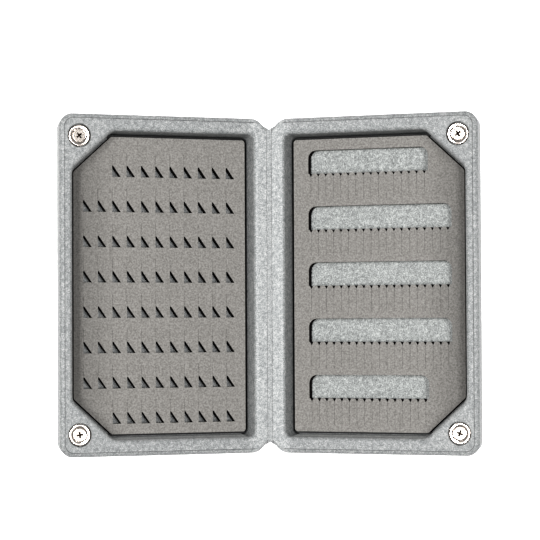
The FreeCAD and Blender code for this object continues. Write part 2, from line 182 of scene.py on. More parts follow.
def moulded_foam(name, dark, middle, light):
    """Grey skin of moulded foam, with the mottled colour as a socket to shade further."""
    material, tree, shader, place = new_material(name)
    noises = {}
    for what, size_mm in (("grain", GRAIN_MM), ("mottle", MOTTLE_MM)):
        noises[what] = add(
            tree,
            "TexNoise",
            values={"Scale": grain_scale(size_mm), "Detail": 3.0, "Roughness": 0.6},
            links={"Vector": place},
        )
    both = add(
        tree,
        "Mix",
        settings={"data_type": "FLOAT"},
        values={"Factor": MOTTLE_SHARE},
        links={"A": noises["grain"].outputs["Fac"], "B": noises["mottle"].outputs["Fac"]},
    )
    stops = [(DARK_AT, dark), (MIDDLE_AT, middle), (LIGHT_AT, light)]
    colour = ramp(tree, both.outputs["Result"], stops)
    tree.links.new(colour, shader.inputs["Base Color"])
    bump = add(
        tree,
        "Bump",
        values={"Strength": 0.7, "Distance": GRAIN_DEPTH_MM * MM},
        links={"Height": noises["grain"].outputs["Fac"]},
    )
    tree.links.new(bump.outputs["Normal"], shader.inputs["Normal"])
    shader.inputs["Roughness"].default_value = SKIN_ROUGHNESS
    shader.inputs["IOR"].default_value = SKIN_IOR
    return material, colour


# %% [markdown]
# Foam isn't painted the same grey all over. The skin is lighter beside the hinge, and painted light
# and shade lie in the cavities, in the creases and along the sheets' outer side. Each of these
# changes goes with a distance on the tray, from the hinge or down from the rim. So a few nodes turn
# the place into a share from 0 to 1, and a ramp on that share is multiplied over the foam's colour.

# %% Shade that follows a distance
MIX_FACTOR, MIX_A, MIX_B, MIX_RESULT = 0, 6, 7, 2
CAVITY_DEPTH_MM = 12.0


def shade_by(material, colour, share, stops):
    """Multiplies a material's colour by a ramp. The colour sockets of Mix go by number."""
    tree = material.node_tree
    shade = ramp(tree, share, stops)
    darker = add(
        tree,
        "Mix",
        settings={"data_type": "RGBA", "blend_type": "MULTIPLY"},
        values={MIX_FACTOR: 1.0},
        links={MIX_A: colour, MIX_B: shade},
    )
    base = tree.nodes["Principled BSDF"].inputs["Base Color"]
    tree.links.new(darker.outputs[MIX_RESULT], base)


def along(material, weights, start, length):
    """A share that grows from 0 to 1 over a length, along a direction over |x| and z."""
    tree = material.node_tree
    place = tree.nodes["Texture Coordinate"].outputs["Object"]
    parts = add(tree, "SeparateXYZ", links={"Vector": place})
    away = add(tree, "Math", settings={"operation": "ABSOLUTE"}, links={0: parts.outputs["X"]})
    first = add(
        tree,
        "Math",
        settings={"operation": "MULTIPLY_ADD"},
        values={1: weights[0] / length, 2: -start / length},
        links={0: away.outputs["Value"]},
    )
    second = add(
        tree,
        "Math",
        settings={"operation": "MULTIPLY_ADD", "use_clamp": True},
        values={1: weights[1] / length},
        links={0: parts.outputs["Z"], 2: first.outputs["Value"]},
    )
    return second.outputs["Value"]


def away_from_hinge(material, from_mm, to_mm):
    """A share that grows from 0 to 1 between two distances from the hinge."""
    return along(material, (1.0, 0.0), from_mm * MM, (to_mm - from_mm) * MM)


def depth_below_rim(material):
    """A share that grows from 0 at the rim to 1 at the cavity's floor, square to the tray."""
    upright = math.sin(TILT), -math.cos(TILT)
    rim_height = AXIS.z * math.cos(TILT) - RIM_BELOW_AXIS
    return along(material, upright, -rim_height, CAVITY_DEPTH_MM * MM)


# %% [markdown]
# The skin of the trays is lighter beside the hinge and a little darker further out. The floor
# under the windows of the right sheet is embossed and has a quieter grey of its own.

# %% Foam of the trays
SHELL_GREYS = (0x6A6C6D, 0x8C8E8E, 0xB4B4B3)
LIGHTEST_TO_MM, SKIN_FROM_MM = 7.0, 11.0
HINGE_SHADES = [(0.0, 0xFFFFFF), (1.0, 0xE4E4E4)]
FLOOR_GREYS = (0x606261, 0x828483, 0xA8AAA8)

SHELL_FOAM, colour = moulded_foam("moulded_EVA_foam", *SHELL_GREYS)
# The skin is lightest up to this distance from the hinge and a little darker beyond it.
from_hinge = away_from_hinge(SHELL_FOAM, LIGHTEST_TO_MM, SKIN_FROM_MM)
shade_by(SHELL_FOAM, colour, from_hinge, HINGE_SHADES)
FLOOR_FOAM, _ = moulded_foam("embossed_EVA_foam", *FLOOR_GREYS)
print("foams:", SHELL_FOAM.name, FLOOR_FOAM.name)

# %% [markdown]
# The walls of the cavities are painted darker on the way down to the sheets, and the gap round
# each sheet is painted almost black: this is painted shade, where little light comes down. The
# outer wall, the cut corners beside it and the front wall wear a foam of their own with painted
# light: lighter than the shaded walls, and darker again at the foot. The narrow fold at the foot of
# the stepped shoulder is painted darker, as painted shade in the crease.

# %% Foam in the cavities and the folds
SKIN_GREYS = (0x5E6061, 0x7E8080, 0xA2A2A1)
WALL_SHADES = [(0.05, 0xFFFFFF), (0.72, 0xF0F0F0), (1.0, 0x282828)]
LIT_GREYS = (0xA0A2A2, 0xC8CACA, 0xF0F0EE)
LIT_SHADES = [(0.05, 0xA4A4A4), (0.35, 0xDADADA), (0.7, 0xFFFFFF), (1.0, 0x909090)]
FOLD_SHADE_GREYS = (0x3C3E3F, 0x525454, 0x6C6C6B)

# Painted shade: the cavity walls darken with depth to near black at the gap.
CAVITY_FOAM, colour = moulded_foam("moulded_EVA_foam_in_shade", *SKIN_GREYS)
shade_by(CAVITY_FOAM, colour, depth_below_rim(CAVITY_FOAM), WALL_SHADES)
# Painted light: the outer, cut-corner and front walls are lighter, and darker again at the foot.
LIT_FOAM, colour = moulded_foam("moulded_EVA_foam_painted_lit", *LIT_GREYS)
shade_by(LIT_FOAM, colour, depth_below_rim(LIT_FOAM), LIT_SHADES)
# Painted shade in the fold at the foot of the shoulder.
FOLD_FOAM, _ = moulded_foam("moulded_EVA_foam_painted_shade_in_fold", *FOLD_SHADE_GREYS)
print("foams:", CAVITY_FOAM.name, LIT_FOAM.name, FOLD_FOAM.name)

# %% [markdown]
# The strip of the hinge is the same foam, pressed thin. Its two creases are painted as dark lines,
# one on each side of the bead: painted shade that dips just outside the bead and comes back
# towards the trays.

# %% Foam of the strip
STRIP_GREYS = (0x606263, 0x828484, 0xA4A4A3)
CREASE_FROM_MM, CREASE_TO_MM = 1.0, 2.0
STRIP_SHADES = [(0.0, 0xFFFFFF), (0.35, 0x707070), (0.6, 0xF0F0F0)]

STRIP_FOAM, colour = moulded_foam("pressed_EVA_foam", *STRIP_GREYS)
# Painted shade in the two creases beside the bead.
to_crease = away_from_hinge(STRIP_FOAM, CREASE_FROM_MM, CREASE_TO_MM)
shade_by(STRIP_FOAM, colour, to_crease, STRIP_SHADES)
print("foam:", STRIP_FOAM.name)

# %% [markdown]
# The sheets are softer closed-cell foam, split from a block, so their face shows only a fine even
# grain. Their cut edges are painted near black and don't shine: painted shade in the holes and
# gaps, where little light reaches. One piece then wears two materials, one on the face and one in
# the cuts. The face is painted a little darker along the outer side, as the outer wall's shadow.

# %% Split and cut foam
FACE_GRAIN_MM = 0.8
FACE_GRAIN_DEPTH_MM = 0.05
FACE_ROUGHNESS, FACE_IOR = 0.8, 1.45
FACE_SHINE, CUT_SHINE = 0.25, 0.0
FACE_GREYS = (0x666461, 0x858380)
CUT_SHADE_GREYS = (0x1C1B1B, 0x262524)
OUTER_SHADOW_FROM_MM, OUTER_SHADOW_TO_MM = 72.0, 90.0
OUTER_SHADOW_SHADES = [(0.0, 0xFFFFFF), (1.0, 0xDADADA)]


def even_grain(name, dark, light, depth_mm, shine=FACE_SHINE):
    """A dull material with one fine grain, and its colour as a socket to shade further."""
    material, tree, shader, place = new_material(name)
    grain = add(
        tree,
        "TexNoise",
        values={"Scale": grain_scale(FACE_GRAIN_MM), "Detail": 4.0, "Roughness": 0.65},
        links={"Vector": place},
    )
    colour = ramp(tree, grain.outputs["Fac"], [(DARK_AT, dark), (LIGHT_AT, light)])
    tree.links.new(colour, shader.inputs["Base Color"])
    bump = add(
        tree,
        "Bump",
        values={"Strength": 0.4, "Distance": depth_mm * MM},
        links={"Height": grain.outputs["Fac"]},
    )
    tree.links.new(bump.outputs["Normal"], shader.inputs["Normal"])
    shader.inputs["Roughness"].default_value = FACE_ROUGHNESS
    shader.inputs["IOR"].default_value = FACE_IOR
    shader.inputs["Specular IOR Level"].default_value = shine
    return material, colour


SHEET_FACE, colour = even_grain("split_EVA_foam", *FACE_GREYS, FACE_GRAIN_DEPTH_MM)
# Painted shadow of the outer wall along the sheet's outer side.
to_outer_side = away_from_hinge(SHEET_FACE, OUTER_SHADOW_FROM_MM, OUTER_SHADOW_TO_MM)
shade_by(SHEET_FACE, colour, to_outer_side, OUTER_SHADOW_SHADES)
# Painted shade: the cut walls are near black.
SHEET_CUT, _ = even_grain("cut_EVA_foam_painted_shade", *CUT_SHADE_GREYS, FACE_GRAIN_DEPTH_MM, CUT_SHINE)
print("sheet foams:", SHEET_FACE.name, SHEET_CUT.name)

# %% [markdown]
# The magnets are sintered neodymium with a bright nickel plate, and the screws are nickel-plated
# steel. Nickel is a warm white metal. The plate is smooth, with only a faint tumbled haze, so its
# roughness wanders a little. The cross recess is painted dark and dull, as painted shade where
# little light gets in. The anchors that the screws bite into are plain moulded nylon, which has an
# even grain as well.

# %% Nickel plate and nylon
HAZE_MM = 1.5
HAZE_DEPTH_MM = 0.02
NYLON_WHITES = (0xC8C5BC, 0xD6D3CA)
NYLON_GRAIN_DEPTH_MM = 0.02


def nickel_plate(name, colour, rough_low, rough_high):
    """Nickel whose roughness wanders between two values."""
    material, tree, shader, place = new_material(name)
    haze = add(
        tree,
        "TexNoise",
        values={"Scale": grain_scale(HAZE_MM), "Detail": 3.0, "Roughness": 0.6},
        links={"Vector": place},
    )
    spread = add(
        tree,
        "MapRange",
        values={"To Min": rough_low, "To Max": rough_high},
        links={"Value": haze.outputs["Fac"]},
    )
    tree.links.new(spread.outputs["Result"], shader.inputs["Roughness"])
    bump = add(
        tree,
        "Bump",
        values={"Strength": 0.15, "Distance": HAZE_DEPTH_MM * MM},
        links={"Height": haze.outputs["Fac"]},
    )
    tree.links.new(bump.outputs["Normal"], shader.inputs["Normal"])
    shader.inputs["Base Color"].default_value = linear(colour)
    shader.inputs["Metallic"].default_value = 1.0
    return material


MAGNET_PLATE = nickel_plate("nickel_plated_magnet", 0xEFE6DF, 0.06, 0.1)
SCREW_PLATE = nickel_plate("nickel_plated_steel", 0xDDD5CD, 0.08, 0.12)
# Painted shade: the cross recess is a dark, dull copy of the steel.
RECESS_SHADE_PLATE = nickel_plate("nickel_plated_steel_painted_shade", 0x3A302A, 0.5, 0.6)
NYLON, _ = even_grain("moulded_nylon", *NYLON_WHITES, NYLON_GRAIN_DEPTH_MM)
print("hard materials:", MAGNET_PLATE.name, SCREW_PLATE.name, RECESS_SHADE_PLATE.name, NYLON.name)

# %% [markdown]
# The trays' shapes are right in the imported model, but its meshes are loose triangles. A copy with
# its doubles merged and its flat faces joined can be shaded smooth, and normals weighted by the
# size of the faces keep the flats flat.

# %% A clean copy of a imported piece
WELD_MM = 0.002
FLAT_ANGLE = math.radians(1)


def merged_copy(node):
    """The node's mesh with its doubles merged and its flat faces joined."""
    mesh = bmesh.new()
    mesh.from_mesh(NODES[node].data)
    bmesh.ops.remove_doubles(mesh, verts=mesh.verts, dist=WELD_MM * MM)
    bmesh.ops.dissolve_limit(
        mesh, angle_limit=FLAT_ANGLE, verts=mesh.verts, edges=mesh.edges
    )
    return mesh


def weighted(piece):
    """Normals that follow the larger faces, so a flat stays flat beside its rounds."""
    modifier = piece.modifiers.new("normals", "WEIGHTED_NORMAL")
    modifier.keep_sharp = True


# %% [markdown]
# The lip round each magnet's pocket is softened by a small bevel, because foam never leaves a mould
# with a knife edge. The bevel needs the lip's edges, and they are found by their place: level with
# the rim, on the pocket's circle, and between two faces that meet at a steep angle.

# %% The lips of the magnets' pockets
MAGNET_X_MM = 93.5
MAGNET_Y_MM = 69.5
POCKET_RADIUS_MM = 5.6
LIP_MM = 0.45
LIP_LEVEL_MM = 0.045
LIP_ANGLE = math.radians(57)


def is_lip(edge, flat):
    """Whether an edge is one where a pocket opens in the rim."""
    ends = [flat @ vertex.co / MM for vertex in edge.verts]
    middle = (ends[0] + ends[1]) / 2
    away = math.hypot(abs(middle.x) - MAGNET_X_MM, abs(middle.y) - MAGNET_Y_MM)
    level = all(abs(end.z) < LIP_LEVEL_MM for end in ends)
    on_circle = abs(away - POCKET_RADIUS_MM) < LIP_MM / 2
    return level and on_circle and edge.calc_face_angle(0) > LIP_ANGLE


def soften_lips(mesh, side):
    """Bevels the lips of both pockets of a tray."""
    flat = TRAY[side].inverted()
    lips = [edge for edge in mesh.edges if is_lip(edge, flat)]
    bmesh.ops.bevel(
        mesh,
        geom=lips,
        offset=LIP_MM * MM,
        offset_type="OFFSET",
        affect="EDGES",
        segments=4,
        profile=0.5,
        material=-1,
        clamp_overlap=True,
    )
    return len(lips)


# %% [markdown]
# Each face of a tray finds its foam by its place. So three small questions come first: where the
# middle of a face lies in the flat frame, whether the face is level at some height, and whether it
# is in the cavity. A face counts as facing a way when its normal goes nine tenths that way.

# %% Where a face of the tray lies
CAVITY_X_MM = (7.25, 96.8)
CAVITY_HALF_MM = 72.25
GAP_MM = 1.3
RIM_SLACK_MM = 0.01
LEVEL_SLACK_MM = 0.02
FACING = 0.9


def middle_of(face, flat):
    """The middle of a face in a tray's flat frame, in millimetres."""
    return flat @ face.calc_center_median() / MM


def is_level(face, flat, height_mm):
    """Whether a face lies level in its tray at this height and looks up."""
    upward = (flat.to_3x3() @ face.normal).z
    return upward > FACING and abs(middle_of(face, flat).z - height_mm) < LEVEL_SLACK_MM


def in_cavity(point):
    """Whether a place in a tray's flat frame is in its cavity or in one of its pockets."""
    low, high = CAVITY_X_MM
    slack = GAP_MM / 2
    across = low - slack < abs(point.x) < high + slack
    along_hinge = abs(point.y) < CAVITY_HALF_MM + slack
    return across and along_hinge and -CAVITY_DEPTH_MM - slack < point.z < -RIM_SLACK_MM


# %% [markdown]
# The level fold at the foot of the shoulder is cut near the hinge, because only the part outside
# the notched corners gets the painted shade. The cavity's floor is inset twice, by the width of the
# gap round the sheet in all, which leaves two rings. On the front side, the narrow ring beside the
# wall goes with the wall's painted light, and the wider one inside it is the gap in painted shade.
# The outer side begins where the cut corners do, and the front side begins past the rounded corner
# at the hinge.

# %% Which foam a face of the tray wears
GAP_EDGE_MM = 0.3
SHOULDER_STEP_MM = 0.35
CHAMFER_FROM_MM = 77.1
FRONT_WALL_FROM_MM = 69.2
HINGE_CORNER_TO_MM = 10.5
FOLD_FROM_MM = 3.6
SKIN, SHADED, FOLD, LIT = 0, 1, 2, 3


def cut_folds(mesh, side):
    """Cuts the level fold at the place near the hinge where its darker part begins."""
    flat = TRAY[side].inverted()
    folds = [face for face in mesh.faces if is_level(face, flat, -SHOULDER_STEP_MM)]
    around = [part for face in folds for part in (*face.edges, *face.verts)]
    bmesh.ops.bisect_plane(
        mesh,
        geom=folds + list(dict.fromkeys(around)),
        plane_co=TRAY[side] @ (Vector((side * FOLD_FROM_MM, 0, 0)) * MM),
        plane_no=TRAY[side].to_3x3() @ Vector((1, 0, 0)),
    )


def shade_cavity(mesh, side):
    """Gives the walls, the gap and the fold their foams. The open floor keeps the skin."""
    flat = TRAY[side].inverted()
    floor = [face for face in mesh.faces if is_level(face, flat, -CAVITY_DEPTH_MM)]
    floor = [face for face in floor if in_cavity(middle_of(face, flat))]
    cut_folds(mesh, side)
    rings = []
    for width in (GAP_EDGE_MM, GAP_MM - GAP_EDGE_MM):
        inset = bmesh.ops.inset_region(
            mesh, faces=floor, thickness=width * MM, use_boundary=True, use_even_offset=True
        )
        rings.append(set(inset["faces"]))
    for face in mesh.faces:
        centre = middle_of(face, flat)
        away = abs(centre.x)
        if face not in floor and in_cavity(centre):
            on_front = centre.y < -FRONT_WALL_FROM_MM and away > HINGE_CORNER_TO_MM
            lit = (on_front and face not in rings[1]) or away > CHAMFER_FROM_MM
            # Painted light on the outer, cut-corner and front walls; painted shade on the others and
            # the gap.
            face.material_index = LIT if lit else SHADED
        elif is_level(face, flat, -SHOULDER_STEP_MM):
            # Painted shade in the fold, away from the hinge.
            face.material_index = FOLD if away > FOLD_FROM_MM else SKIN
    return sum(len(ring) for ring in rings)


# %% [markdown]
# With these helpers each tray takes three steps: a clean copy, the foams of its faces, and the
# softened lips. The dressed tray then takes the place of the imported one.

# %% The two trays
for side in (LEFT, RIGHT):
    node = SIDE_NAME[side] + "_shell"
    mesh = merged_copy(node)
    ring = shade_cavity(mesh, side)
    lips = soften_lips(mesh, side)
    shell = new_piece(SIDE_NAME[side] + "_tray_foam", mesh)
    smooth(shell)
    weighted(shell)
    dress(shell, side, "shell_foam", SHELL_FOAM, CAVITY_FOAM, FOLD_FOAM, LIT_FOAM)
    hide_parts(node)
    print(shell.name, "faces:", len(shell.data.polygons), "lips:", lips, "ring:", ring)

# %% [markdown]
# The sheets are cut by steel rules. The copy of each sheet gets its flat faces merged, and the
# walls of its cuts the painted-shade material. In the windows, the walls that face the front catch
# the light from above, so there the right sheet leaves the painted shade off and keeps the colour
# of its face.

# %% The two foam sheets
SHEET_NODE = {LEFT: "slit_insert", RIGHT: "window_insert"}
FACE, CUT = 0, 1

for side in (LEFT, RIGHT):
    mesh = merged_copy(SHEET_NODE[side])
    up = TRAY[side].to_3x3() @ Vector((0, 0, 1))
    for face in mesh.faces:
        lit_wall = side == RIGHT and face.normal.y < -FACING
        level = abs(face.normal.dot(up)) > FACING
        face.material_index = FACE if lit_wall or level else CUT
    sheet = new_piece(SIDE_NAME[side] + "_foam_sheet", mesh)
    smooth(sheet)
    dress(sheet, side, "insert_foam", SHEET_FACE, SHEET_CUT)
    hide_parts(SHEET_NODE[side])
    print(sheet.name, "faces:", len(sheet.data.polygons))

# %% [markdown]
# The floor of the right tray shows through the windows. Its mould was etched, so the foam there is
# pebbled. A bump alone would leave it flat from the side, so five thin plates carry that relief,
# one in each window. Its height is two noises, coarse pebbles with finer ones on them.

# %% The relief of the pebbles
FLOOR_Z_MM = -12.0
PEBBLE_MM = 0.7
FINE_PEBBLE_MM = 0.315
PEBBLE_HEIGHT_MM = 0.5
MEAN_SHARE, COARSE_SHARE, FINE_SHARE = 0.5, 0.55, 0.25
FINE_LAYER = 9
LEAST_HEIGHT_MM = 0.02


def pebble(x, y):
    """Height of the relief above the floor, in millimetres, at a place on it."""
    coarse = noise.noise(Vector((x, y, 0)) / PEBBLE_MM)
    fine = noise.noise(Vector((x, y, FINE_LAYER)) / FINE_PEBBLE_MM)
    height = PEBBLE_HEIGHT_MM * (MEAN_SHARE + COARSE_SHARE * coarse + FINE_SHARE * fine)
    return max(LEAST_HEIGHT_MM, height)


# %% [markdown]
# A plate starts as a fine grid. Each of its rows is fitted between the window's sides, which come
# closer at the two rounded corners, and is raised by the relief. The border is then extruded down
# to the floor and closed. The first and the last window are shorter, beside the cut corners.

# %% The pebbled floor in the windows
WINDOW_FIRST_MM = 17.05
WINDOW_LAST_MM = 88.1
WINDOW_SHORT_LAST_MM = 76.77
WINDOW_BOTTOM_MM = -54.05
WINDOW_STEP_MM = 26.8875
WINDOW_HEIGHT_MM = 11.2
WINDOW_CORNER_MM = 4.0
WINDOW_ROWS = 5
PLATE_GAP_MM = 0.06
GRID_MM = 0.25


def row_in_window(y, top, first, last):
    """Left and right end of a row of the grid: it is shorter within the rounded top corners."""
    into = max(0.0, y - (top - WINDOW_CORNER_MM))
    short = WINDOW_CORNER_MM - math.sqrt(max(0.0, WINDOW_CORNER_MM**2 - into**2))
    return first + short, last - short


def floor_plate(mesh, first, last, low, high):
    """Adds one plate between these sides, and a skirt round it down to the floor."""
    columns, rows = round((last - first) / GRID_MM), round((high - low) / GRID_MM)
    grid = bmesh.ops.create_grid(mesh, x_segments=columns, y_segments=rows, size=1)["verts"]
    for vertex in grid:
        share_x, share_y = (vertex.co.x + 1) / 2, (vertex.co.y + 1) / 2
        y = low + (high - low) * share_y
        start, end = row_in_window(y, high, first, last)
        x = start + (end - start) * share_x
        vertex.co = Vector((x, y, FLOOR_Z_MM + pebble(x, y))) * MM
    border = [edge for vertex in grid for edge in vertex.link_edges if edge.is_boundary]
    skirt = bmesh.ops.extrude_edge_only(mesh, edges=list(dict.fromkeys(border)))["geom"]
    for part in skirt:
        if isinstance(part, bmesh.types.BMVert):
            part.co.z = FLOOR_Z_MM * MM
    foot = [part for part in skirt if isinstance(part, bmesh.types.BMEdge) and part.is_boundary]
    bmesh.ops.edgeloop_fill(mesh, edges=foot)


relief = bmesh.new()
for row in range(WINDOW_ROWS):
    at_end = row in (0, WINDOW_ROWS - 1)
    far = WINDOW_SHORT_LAST_MM if at_end else WINDOW_LAST_MM
    base = WINDOW_BOTTOM_MM + WINDOW_STEP_MM * row
    floor_plate(
        relief,
        WINDOW_FIRST_MM + PLATE_GAP_MM,
        far - PLATE_GAP_MM,
        base + PLATE_GAP_MM,
        base + WINDOW_HEIGHT_MM - PLATE_GAP_MM,
    )
bmesh.ops.transform(relief, matrix=TRAY[RIGHT], verts=relief.verts)
bmesh.ops.recalc_face_normals(relief, faces=relief.faces)
window_floor = new_piece("window_floor", relief)
smooth(window_floor, sharp_angle=50)
dress(window_floor, RIGHT, "shell_foam", FLOOR_FOAM)
print("window floor faces:", len(window_floor.data.polygons))

# %% [markdown]
# The hinge is a strip of the shells' own foam, pressed thin. In section it is a low bead between
# two creases, and towards the front the bead ends in a rounded nose. Near its ends the strip
# flares into the trays' notched corners, and each end dips in as a shallow V. It is one grid,
# extruded once: the copy becomes the top and the grid itself the underside.

# %% The bending strip
STRIP_HALF_MM = 1.35
STRIP_DROP_MM = 0.5
STRIP_THICKNESS_MM = 1.8
STRIP_CROWN_MM = 0.35
WALL_DRAFT = math.radians(9)
STRIP_END_MM = 76.35
CROWN_END_MM = 3.2
CROWN_POWER = 4
LEAST_REACH = 0.05
FLARE_FROM_MM = 73.4
FLARE_RUN_MM = 0.5
FLARE_MM = 1.35
END_DIP_MM = 1.6
ACROSS = 24
ALONG = 200


def at_hinge_wall(depth):
    """The place (x, z) on the right tray's hinge wall at a depth below the rim."""
    x = STRIP_HALF_MM + (depth - SHOULDER_STEP_MM) * math.tan(WALL_DRAFT)
    point = TRAY[RIGHT] @ (Vector((x, 0, -depth)) * MM)
    return point.x / MM, point.z / MM


def crown(across, y):
    """Height of the bead above its creases. across runs from -1 to 1, y in millimetres."""
    to_front = y + STRIP_END_MM - CROWN_END_MM
    reach = 1.0 if to_front > 0 else math.sqrt(max(0.0, 1 - (to_front / CROWN_END_MM) ** 2))
    if reach < LEAST_REACH:
        return 0.0
    inside = abs(across) / reach
    return STRIP_CROWN_MM * math.sqrt(1 - inside**CROWN_POWER) if inside < 1 else 0.0


def flare(y):
    """What the flare adds to half the strip's width, in millimetres."""
    return FLARE_MM * min(1.0, max(0.0, (abs(y) - FLARE_FROM_MM) / FLARE_RUN_MM))


top_x, top_z = at_hinge_wall(STRIP_DROP_MM)
low_x, low_z = at_hinge_wall(STRIP_DROP_MM + STRIP_THICKNESS_MM)
strip = bmesh.new()
bmesh.ops.create_grid(strip, x_segments=ACROSS, y_segments=ALONG, size=1)
top = set(bmesh.ops.extrude_face_region(strip, geom=strip.faces[:])["geom"])
for vertex in strip.verts:
    across = math.sin(math.pi / 2 * vertex.co.x)
    y = STRIP_END_MM * vertex.co.y
    y_in = y * (1 - END_DIP_MM / STRIP_END_MM * (1 - abs(across)))
    if vertex in top:
        place = across * (top_x + flare(y)), y_in, top_z + crown(across, y)
    else:
        place = across * low_x, y_in, low_z
    vertex.co = Vector(place) * MM
bmesh.ops.recalc_face_normals(strip, faces=strip.faces)

hinge_strip = new_piece("hinge_strip", strip)
smooth(hinge_strip, sharp_angle=40)
hinge_strip.data.materials.append(STRIP_FOAM)
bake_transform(hinge_strip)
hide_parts("hinge_web")
print("hinge strip faces:", len(hinge_strip.data.polygons))

# %% [markdown]
# Magnets and screws are round, so both are turned: a profile of the section is spun once about the
# piece's own axis. The piece is then moved into its corner of the tray.

# %% Turned pieces
TURN_STEPS = 72
MAGNET_TOP_MM = -0.3


def arc_points(centre_r, centre_z, radius, start, end, steps):
    """Points (radius, height) on an arc of the profile, angles in degrees."""
    turns = [math.radians(start + (end - start) * k / steps) for k in range(steps + 1)]
    return [(centre_r + radius * math.cos(t), centre_z + radius * math.sin(t)) for t in turns]


def turned(profile, closed):
    """A solid spun from a profile of (radius, height) in millimetres."""
    mesh = bmesh.new()
    points = [mesh.verts.new((r * MM, 0, z * MM)) for r, z in profile]
    pairs = list(zip(points, points[1:]))
    if closed:
        pairs.append((points[-1], points[0]))
    edges = [mesh.edges.new(pair) for pair in pairs]
    bmesh.ops.spin(
        mesh,
        geom=points + edges,
        cent=(0, 0, 0),
        axis=(0, 0, 1),
        angle=math.tau,
        steps=TURN_STEPS,
        use_merge=True,
    )
    bmesh.ops.remove_doubles(mesh, verts=mesh.verts, dist=WELD_MM * MM)
    bmesh.ops.recalc_face_normals(mesh, faces=mesh.faces)
    return mesh


def set_in_corner(mesh, side, end, turn=0.0):
    """Lays a turned part into its corner of the tray, turned about its own axis."""
    corner = Vector((side * MAGNET_X_MM, end * MAGNET_Y_MM, MAGNET_TOP_MM)) * MM
    matrix = TRAY[side] @ Matrix.Translation(corner) @ Matrix.Rotation(turn, 4, "Z")
    bmesh.ops.transform(mesh, matrix=matrix, verts=mesh.verts)


# %% [markdown]
# A magnet is a ring with a countersunk bore. Its pressed outer edges are rounded and the edges of
# its bore are just broken, because plating never holds on a sharp one.

# %% The four ring magnets
MAGNET_RADIUS_MM = 5.0
MAGNET_THICKNESS_MM = 3.0
MAGNET_BORE_MM = 1.8
SINK_RADIUS_MM = 3.25
SINK_BREAK_MM = 0.05
BREAK_MM = 0.06
EDGE_ROUND_MM = 0.35
ROUND_STEPS = 5


def magnet_profile():
    """The section of a ring magnet, with its top at height 0."""
    outer = MAGNET_RADIUS_MM - EDGE_ROUND_MM
    low = -MAGNET_THICKNESS_MM
    cone = SINK_RADIUS_MM - MAGNET_BORE_MM
    profile = [(MAGNET_BORE_MM, low)]
    profile += arc_points(outer, low + EDGE_ROUND_MM, EDGE_ROUND_MM, -90, 0, ROUND_STEPS)
    profile += arc_points(outer, -EDGE_ROUND_MM, EDGE_ROUND_MM, 0, 90, ROUND_STEPS)
    profile += [(SINK_RADIUS_MM + BREAK_MM, 0), (SINK_RADIUS_MM, -SINK_BREAK_MM)]
    profile += [(MAGNET_BORE_MM + BREAK_MM, -cone), (MAGNET_BORE_MM, -cone - BREAK_MM)]
    return profile


for side in (LEFT, RIGHT):
    for end in (REAR, FRONT):
        corner_name = SIDE_NAME[side] + "_" + END_NAME[end]
        mesh = turned(magnet_profile(), closed=True)
        set_in_corner(mesh, side, end)
        magnet = new_piece("ring_magnet_" + corner_name, mesh)
        smooth(magnet, sharp_angle=50)
        weighted(magnet)
        dress(magnet, side, "magnet_nickel", MAGNET_PLATE)
        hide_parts("magnet_" + corner_name)
print("magnet faces:", len(magnet.data.polygons))

# %% [markdown]
# The screws are countersunk, with a cross recess. The head is turned first with an open top. The
# cross is then drawn twice, at the top and smaller at the foot of the recess, as the punch leaves
# it. The ring round the top one is filled, the two are bridged, and the lower one is closed.

# %% The four screws
SCREW_TOP_MM = -0.2
SCREW_HEAD_MM = 3.01
SCREW_RADIUS_MM = 1.5
SCREW_LENGTH_MM = 10.0
HEAD_FLAT_INSET_MM = 0.1
HEAD_EDGE_MM = 0.06
HEAD_CONE_FROM_MM = 0.25
TIP_MM = 0.3
CROSS_REACH_MM = 1.55
CROSS_WIDTH_MM = 0.8
CROSS_DEPTH_MM = 1.6
CROSS_FOOT_SHARE = 0.3
RECESS = 1
SCREW_TURN = {
    (LEFT, REAR): math.radians(40),
    (RIGHT, REAR): math.radians(35),
    (LEFT, FRONT): math.radians(8),
    (RIGHT, FRONT): math.radians(-22),
}


def screw_profile():
    """The section of a screw without the top of its head."""
    neck = SCREW_TOP_MM - SCREW_HEAD_MM + SCREW_RADIUS_MM
    foot = SCREW_TOP_MM - SCREW_LENGTH_MM
    return [
        (SCREW_HEAD_MM - HEAD_FLAT_INSET_MM, SCREW_TOP_MM),
        (SCREW_HEAD_MM - HEAD_EDGE_MM, SCREW_TOP_MM - HEAD_EDGE_MM),
        (SCREW_HEAD_MM - HEAD_CONE_FROM_MM, SCREW_TOP_MM - HEAD_CONE_FROM_MM),
        (SCREW_RADIUS_MM, neck),
        (SCREW_RADIUS_MM, foot + TIP_MM),
        (SCREW_RADIUS_MM - TIP_MM, foot),
        (0, foot),
    ]


def cross_outline(reach, width):
    """The twelve corners of a plain cross, in order round it."""
    half = width / 2
    arm = [(half, half), (reach, half), (reach, -half)]
    corners = []
    for quarter in range(4):
        turn = Matrix.Rotation(-math.pi / 2 * quarter, 2)
        corners += [turn @ Vector(point) for point in arm]
    return corners


def cross_loop(mesh, depth, share):
    """The edges of a cross at a depth. Its arms shrink by the share, their width half as much."""
    outline = cross_outline(CROSS_REACH_MM * share, CROSS_WIDTH_MM * (0.5 + share / 2))
    z = SCREW_TOP_MM - depth
    points = [mesh.verts.new((p.x * MM, p.y * MM, z * MM)) for p in outline]
    return [mesh.edges.new(pair) for pair in zip(points, points[1:] + points[:1])]


